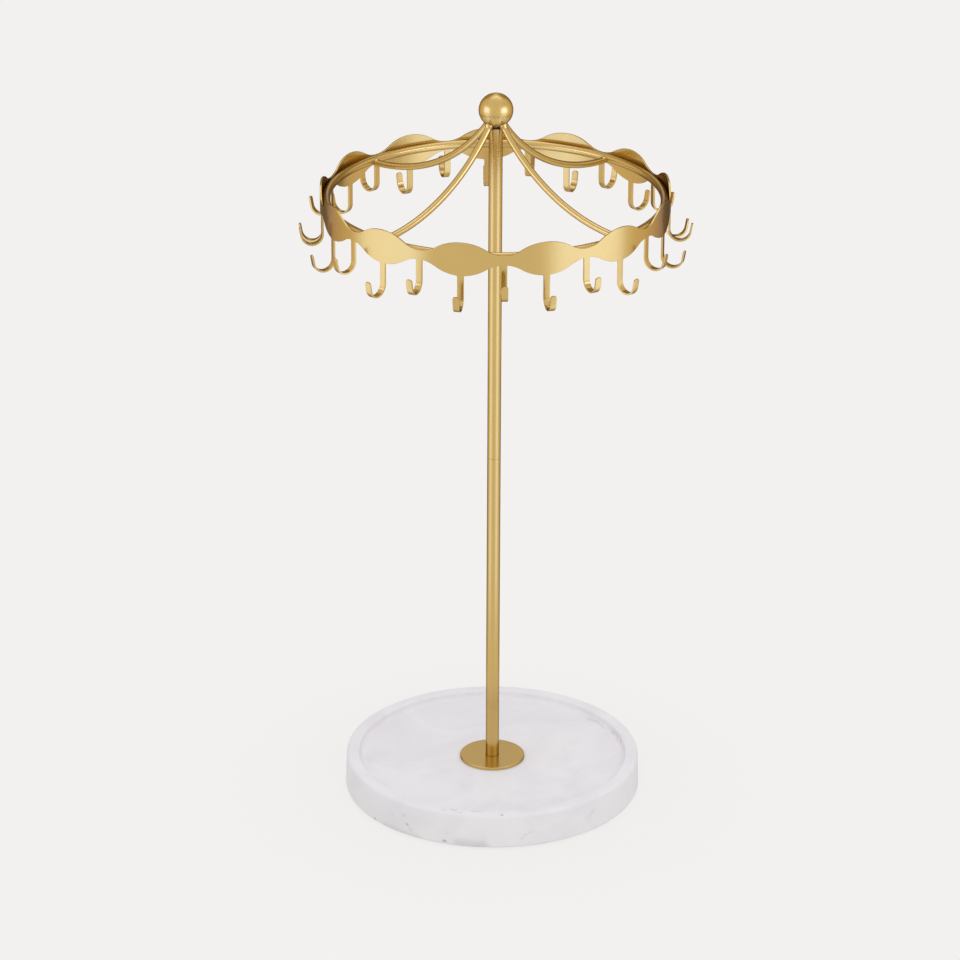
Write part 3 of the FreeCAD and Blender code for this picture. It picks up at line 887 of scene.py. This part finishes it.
def tray_marks_and_shade(points, outer, high):
    """Strength of pits, scuffs, hairlines and the painted shade on the dish's inner wall at each point,
    from places round the wall and the rim.

    The place is (distance round the outside, height) on the wall and (distance round, radius) on
    the rim and the dish, both in metres, so a mark has its real size.
    """
    angle = np.arctan2(points[:, 0], -points[:, 1])
    radius = np.hypot(points[:, 0], points[:, 1])
    round_about = angle * outer
    on_wall = (radius > outer * 0.975) & (points[:, 2] < high - 0.3 * MM)
    wall = strongest(WALL_MARKS, round_about, points[:, 2])
    top = strongest(RIM_MARKS_AND_SHADE, round_about, radius)
    return np.where(on_wall, wall, top * (radius > outer * 0.5))


def build_tray(sizes):
    """Cast tray: its section carried round, a slight unevenness, and an attribute with its marks and its
    painted shade.
    """
    outline = tray_outline(sizes)
    columns = 3 * sizes.columns
    points = turned(outline, columns).reshape(-1, 3)
    outer = radius_of("tray")
    points = wobble(points, outer)
    faces = turned_faces(columns, len(outline))
    material = finish("cast_gypsum_stone", cast_stone)
    piece = new_piece("cast_tray", points, faces, material, "stand", ["tray"])
    marks_and_shade = piece.data.attributes.new("marks_and_shade", "FLOAT", "POINT")
    strength = tray_marks_and_shade(points, outer, top_of("tray"))
    marks_and_shade.data.foreach_set("value", strength.astype(np.float32))
    keep_flats_flat(piece)


# ---------------------------------------------------------------- hardware that stays as packed

def dress_hardware():
    """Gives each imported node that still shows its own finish."""
    colours = bpy.context.scene.stand_colours
    finishes = {
        # Turned POM or nylon: dark, dull, with a faint moulded grain. Its very dark warm brown is partly
        # painted shade, standing in for the shadowed gap under the ball.
        "top_bush": ("moulded_nylon", colours.nylon, 0.0, 0.5, 0.8, 0.01),
        # Closed-cell foam with a soft matt skin.
        "tray_pad": ("closed_cell_foam", colours.foam, 0.0, 0.85, 1.2, 0.08),
        # Zinc-plated steel, barrel-plated: bright grey with a broken gloss.
        "steel": ("zinc_plated_steel", colours.zinc, 1.0, 0.34, 1.0, 0.01),
        # Machined brass with fine turning.
        "brass": ("machined_brass", colours.brass, 1.0, 0.3, 0.8, 0.01),
    }
    steel = ("spindle", "joiner_stud", "base_bolt", "base_washer")
    brass = ("foot_insert", "seam_insert")
    for name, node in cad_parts.items():
        if node.hide_render:
            continue
        kind = "steel" if name.startswith(steel) else "brass" if name.startswith(brass) else None
        kind = kind or ("tray_pad" if name.startswith("tray_pad") else "top_bush")
        settings = finishes[kind]
        material = bpy.data.materials.get(settings[0]) or plain_finish(*settings)
        node.data.materials.clear()
        node.data.materials.append(material)


# ---------------------------------------------------------------- stage

CAMERA_AZIMUTH = math.radians(-2.63)
CAMERA_ELEVATION = math.radians(23.178)
CAMERA_ROLL = math.radians(0.257)
CAMERA_DISTANCE = 2.620
CAMERA_LENS_MM = 165.5
AIM_RIGHT = -8.2 * MM
AIM_HEIGHT = 200.1 * MM
FLOOR_HALF = 6.0


def build_camera():
    """Long lens, slightly above the stand, looking down at its middle."""
    a, e = CAMERA_AZIMUTH, CAMERA_ELEVATION
    right = Vector((math.cos(a), math.sin(a), 0))
    back = Vector((math.sin(a) * math.cos(e), -math.cos(a) * math.cos(e), math.sin(e)))
    up = back.cross(right)
    aim = right * AIM_RIGHT + Vector((0, 0, AIM_HEIGHT))
    right, up = (right * math.cos(CAMERA_ROLL) + up * math.sin(CAMERA_ROLL),
                 up * math.cos(CAMERA_ROLL) - right * math.sin(CAMERA_ROLL))
    data = bpy.data.cameras.new("camera")
    data.lens = CAMERA_LENS_MM
    data.sensor_width = 36.0
    data.clip_end = 50.0
    camera = new_object("camera", data)
    turn = Matrix((right, up, back)).transposed().to_4x4()
    camera.matrix_world = Matrix.Translation(aim + back * CAMERA_DISTANCE) @ turn
    bpy.context.scene.camera = camera


def seen_directly(tree):
    """1 for camera, mirror and glass rays, 0 for the rays that light the object."""
    path = add_node(tree, "ShaderNodeLightPath")
    either = add_node(tree, "ShaderNodeMath", {
        0: path.outputs["Is Camera Ray"], 1: path.outputs["Is Glossy Ray"]}, operation="MAXIMUM")
    return add_node(tree, "ShaderNodeMath", {
        0: either.outputs["Value"], 1: path.outputs["Is Transmission Ray"]},
        operation="MAXIMUM").outputs["Value"]


def build_floor():
    """Pale floor: it shows the backdrop's colour, and near the tray a part of its own shadow."""
    colours = bpy.context.scene.stand_colours
    half = FLOOR_HALF
    floor = four_cornered("floor", [
        (-half, -half, 0), (half, -half, 0), (half, half, 0), (-half, half, 0)])
    material, tree, output = new_material("pale_floor")
    paint = add_node(tree, "ShaderNodeBsdfDiffuse", {"Color": solid(colours.backdrop)})
    glow = add_node(tree, "ShaderNodeEmission", {"Color": solid(colours.backdrop), "Strength": 1.0})
    place = add_node(tree, "ShaderNodeTexCoord")
    reach = add_node(tree, "ShaderNodeVectorMath", {0: place.outputs["Object"]}, operation="LENGTH")
    near = add_node(tree, "ShaderNodeMapRange", span(reach.outputs["Value"], 0.1, 0.2, 0.84, 1.0),
        interpolation_type="SMOOTHSTEP")
    share = add_node(tree, "ShaderNodeMath", {0: near.outputs["Result"], 1: seen_directly(tree)},
                     operation="MULTIPLY")
    mix = add_node(tree, "ShaderNodeMixShader", {
        0: share.outputs["Value"], 1: paint.outputs["BSDF"], 2: glow.outputs["Emission"]})
    tree.links.new(mix.outputs["Shader"], output.inputs["Surface"])
    floor.data.materials.append(material)


def build_world():
    """Even studio surround: the backdrop's colour where it is seen, a softer level as light."""
    colours = bpy.context.scene.stand_colours
    world = bpy.data.worlds.new("studio")
    bpy.context.scene.world = world
    world.use_nodes = True
    tree = world.node_tree
    tree.nodes.clear()
    output = add_node(tree, "ShaderNodeOutputWorld")
    seen = add_node(tree, "ShaderNodeBackground", {"Color": solid(colours.backdrop), "Strength": 1.0})
    light = add_node(tree, "ShaderNodeBackground", {
        "Color": solid(linear("#F6F5F7")), "Strength": 0.86})
    mix = add_node(tree, "ShaderNodeMixShader", {
        0: seen_directly(tree), 1: light.outputs["Background"], 2: seen.outputs["Background"]})
    tree.links.new(mix.outputs["Shader"], output.inputs["Surface"])


def place_round(item, azimuth, distance, height):
    """Stands an object at an azimuth round the pole, counted from the camera; returns the angle."""
    a = math.radians(azimuth) + CAMERA_AZIMUTH
    item.location = (distance * math.sin(a), -distance * math.cos(a), height)
    return a


def soft_box(name, azimuth, distance, height, width, tall, power, colour):
    """Area lamp that stands at an azimuth round the pole and faces the stand's middle."""
    data = bpy.data.lights.new(name, "AREA")
    data.shape = "RECTANGLE"
    data.size = width
    data.size_y = tall
    data.energy = power
    data.color = linear(colour)
    lamp = new_object(name, data)
    place_round(lamp, azimuth, distance, height)
    to_stand = Vector((0, 0, AIM_HEIGHT)) - lamp.location
    lamp.rotation_mode = "QUATERNION"
    lamp.rotation_quaternion = to_stand.to_track_quat("-Z", "Y")
    lamp.visible_camera = False
    return lamp


def card(name, azimuth, distance, width, bottom, top, colour, low, high):
    """Upright card that only reflections see.

    Its brightness rises from low at its foot to high at its top, and its sides and ends fade into
    the backdrop, so its reflection has no hard border.
    """
    half, tall = width / 2, top - bottom
    made = four_cornered(name, [
        (-half, 0, bottom), (half, 0, bottom), (half, 0, top), (-half, 0, top)])
    made.rotation_euler = (0, 0, place_round(made, azimuth, distance, 0))
    material, tree, output = new_material(name + "_paper")
    place = add_node(tree, "ShaderNodeTexCoord")
    part = add_node(tree, "ShaderNodeSeparateXYZ", {"Vector": place.outputs["Object"]})
    level = add_node(tree, "ShaderNodeMapRange", span(part.outputs["Z"], bottom, top, low, high),
        interpolation_type="SMOOTHSTEP")
    aside = add_node(tree, "ShaderNodeMath", {0: part.outputs["X"]}, operation="ABSOLUTE")
    sides = add_node(tree, "ShaderNodeMapRange", {
        "Value": aside.outputs["Value"], "From Min": half, "From Max": half / 2},
        interpolation_type="SMOOTHSTEP")
    off = add_node(tree, "ShaderNodeMath", {
        0: part.outputs["Z"], 1: bottom + tall / 2}, operation="SUBTRACT")
    away = add_node(tree, "ShaderNodeMath", {0: off.outputs["Value"]}, operation="ABSOLUTE")
    ends = add_node(tree, "ShaderNodeMapRange", {
        "Value": away.outputs["Value"], "From Min": tall / 2, "From Max": tall * CARD_FADE},
        interpolation_type="SMOOTHSTEP")
    share = add_node(tree, "ShaderNodeMath", {0: sides.outputs["Result"], 1: ends.outputs["Result"]},
                     operation="MULTIPLY")
    backdrop = bpy.context.scene.stand_colours.backdrop
    rest = add_node(tree, "ShaderNodeEmission", {"Color": solid(backdrop), "Strength": 1.0})
    paper = add_node(tree, "ShaderNodeEmission", {
        "Color": solid(linear(colour)), "Strength": level.outputs["Result"]})
    mix = add_node(tree, "ShaderNodeMixShader", {
        0: share.outputs["Value"], 1: rest.outputs["Emission"], 2: paper.outputs["Emission"]})
    tree.links.new(mix.outputs["Shader"], output.inputs["Surface"])
    made.data.materials.append(material)
    made.visible_camera = False
    made.visible_diffuse = False
    made.visible_shadow = False


CARD_FADE = 0.38  # share of a card's height, from its middle, that isn't faded

# Cards as (name, azimuth in degrees, distance, width, foot, top, colour, brightness at foot and top).
CARDS = [
    ("left_light", -58, 0.20, 0.20, 0.0, 0.405, "#D6E0FF", 1.72, 2.0),
    ("right_light", 50, 0.20, 0.21, 0.0, 0.405, "#D6E0FF", 1.77, 2.1),
    ("left_high_light", -64, 0.45, 0.42, 0.22, 0.64, "#D4DAFF", 3.3, 3.3),
    ("right_high_light", 57, 0.45, 0.44, 0.22, 0.64, "#D4DAFF", 4.0, 4.0),
    ("left_far", -88, 0.6, 0.5, -0.2, 1.2, "#E0DCD8", 0.95, 0.95),
    ("right_far", 88, 0.6, 0.5, -0.2, 1.2, "#E0DCD8", 0.75, 0.75),
    ("left_side", -108, 0.5, 0.44, 0.0, 1.2, "#DACDBE", 1.25, 1.25),
    ("right_side", 108, 0.5, 0.44, 0.0, 1.2, "#DACDBE", 1.25, 1.25),
    ("left_dark", -150, 0.54, 0.56, -0.2, 1.2, "#CDBB9E", 0.70, 0.70),
    ("right_dark", 150, 0.54, 0.56, -0.2, 1.2, "#CDBB9E", 0.60, 0.60),
    ("left_flag", -135, 0.13, 0.18, 0.0, 0.24, "#C8BBA4", 1.0, 1.0),
    ("right_flag", 135, 0.13, 0.18, 0.0, 0.24, "#C8BBA4", 1.1, 1.1),
    ("back_dark", 180, 1.6, 3.2, 0.3, 1.15, "#DADDF0", 0.5, 1.6),
    ("back_high_light", 180, 1.0, 3.0, 1.0, 2.6, "#C8D4FF", 2.1, 2.1),
]


def build_lights():
    """Soft boxes for the shading, and cards that give the metal its highlights and its dark edges."""
    soft_box("top_box", 171, 0.7, 1.7, 1.3, 1.1, 2.7, "#F4F2FA")
    fill = soft_box("front_fill", 10, 1.5, 1.0, 1.4, 1.4, 5.7, "#FFFFFF")
    fill.visible_glossy = False
    for settings in CARDS:
        card(*settings)


# ---------------------------------------------------------------- operators, one per piece or group

class STAND_OT_band(bpy.types.Operator):
    """Build the scalloped band with its bent hooks"""

    bl_idname = "stand.band"
    bl_label = "Hooked band"

    def execute(self, context):
        build_band(context.scene.stand_sizes)
        return {"FINISHED"}


class STAND_OT_ring(bpy.types.Operator):
    """Build the wire ring inside the band"""

    bl_idname = "stand.ring"
    bl_label = "Wire ring"

    def execute(self, context):
        build_ring(context.scene.stand_sizes)
        return {"FINISHED"}


class STAND_OT_ribs(bpy.types.Operator):
    """Build the four bent wire ribs"""

    bl_idname = "stand.ribs"
    bl_label = "Wire ribs"

    def execute(self, context):
        build_ribs(context.scene.stand_sizes)
        return {"FINISHED"}


class STAND_OT_ball(bpy.types.Operator):
    """Build the turned ball"""

    bl_idname = "stand.ball"
    bl_label = "Ball"

    def execute(self, context):
        build_ball(context.scene.stand_sizes)
        return {"FINISHED"}


class STAND_OT_pole(bpy.types.Operator):
    """Build the two tubes of the pole"""

    bl_idname = "stand.pole"
    bl_label = "Pole tubes"

    def execute(self, context):
        build_pole(context.scene.stand_sizes)
        return {"FINISHED"}


class STAND_OT_foot_disc(bpy.types.Operator):
    """Build the thin disc under the pole"""

    bl_idname = "stand.foot_disc"
    bl_label = "Foot disc"

    def execute(self, context):
        build_foot_disc(context.scene.stand_sizes)
        return {"FINISHED"}


class STAND_OT_tray(bpy.types.Operator):
    """Build the cast stone tray"""

    bl_idname = "stand.tray"
    bl_label = "Cast tray"

    def execute(self, context):
        build_tray(context.scene.stand_sizes)
        return {"FINISHED"}


class STAND_OT_hardware(bpy.types.Operator):
    """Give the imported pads, bush, spindle and fasteners their finishes"""

    bl_idname = "stand.hardware"
    bl_label = "Hardware finishes"

    def execute(self, context):
        dress_hardware()
        return {"FINISHED"}


class STAND_OT_stage(bpy.types.Operator):
    """Build the floor, the surround, the lamps and the camera"""

    bl_idname = "stand.stage"
    bl_label = "Stage"

    def execute(self, context):
        build_floor()
        build_world()
        build_lights()
        build_camera()
        context.scene.view_settings.view_transform = "Standard"
        return {"FINISHED"}


BUILDERS = (STAND_OT_band, STAND_OT_ring, STAND_OT_ribs, STAND_OT_ball, STAND_OT_pole,
            STAND_OT_foot_disc, STAND_OT_tray, STAND_OT_hardware, STAND_OT_stage)


class STAND_PT_panel(bpy.types.Panel):
    """Lists the stand's operators, sizes and colours"""

    bl_label = "Necklace stand"
    bl_idname = "STAND_PT_panel"
    bl_space_type = "VIEW_3D"
    bl_region_type = "UI"
    bl_category = "Stand"

    def draw(self, context):
        layout = self.layout
        for builder in BUILDERS:
            layout.operator(builder.bl_idname)
        for group in (context.scene.stand_sizes, context.scene.stand_colours):
            for name in group.__annotations__:
                layout.prop(group, name)


CLASSES = (StandSizes, StandColours) + BUILDERS + (STAND_PT_panel,)


def register():
    for item in CLASSES:
        bpy.utils.register_class(item)
    bpy.types.Scene.stand_sizes = PointerProperty(type=StandSizes)
    bpy.types.Scene.stand_colours = PointerProperty(type=StandColours)


def unregister():
    del bpy.types.Scene.stand_colours
    del bpy.types.Scene.stand_sizes
    for item in reversed(CLASSES):
        bpy.utils.unregister_class(item)


def main():
    """Registers the add-on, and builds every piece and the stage."""
    register()
    bpy.ops.stand.band()
    bpy.ops.stand.ring()
    bpy.ops.stand.ribs()
    bpy.ops.stand.ball()
    bpy.ops.stand.pole()
    bpy.ops.stand.foot_disc()
    bpy.ops.stand.tray()
    bpy.ops.stand.hardware()
    bpy.ops.stand.stage()


if __name__ == "__main__":
    main()
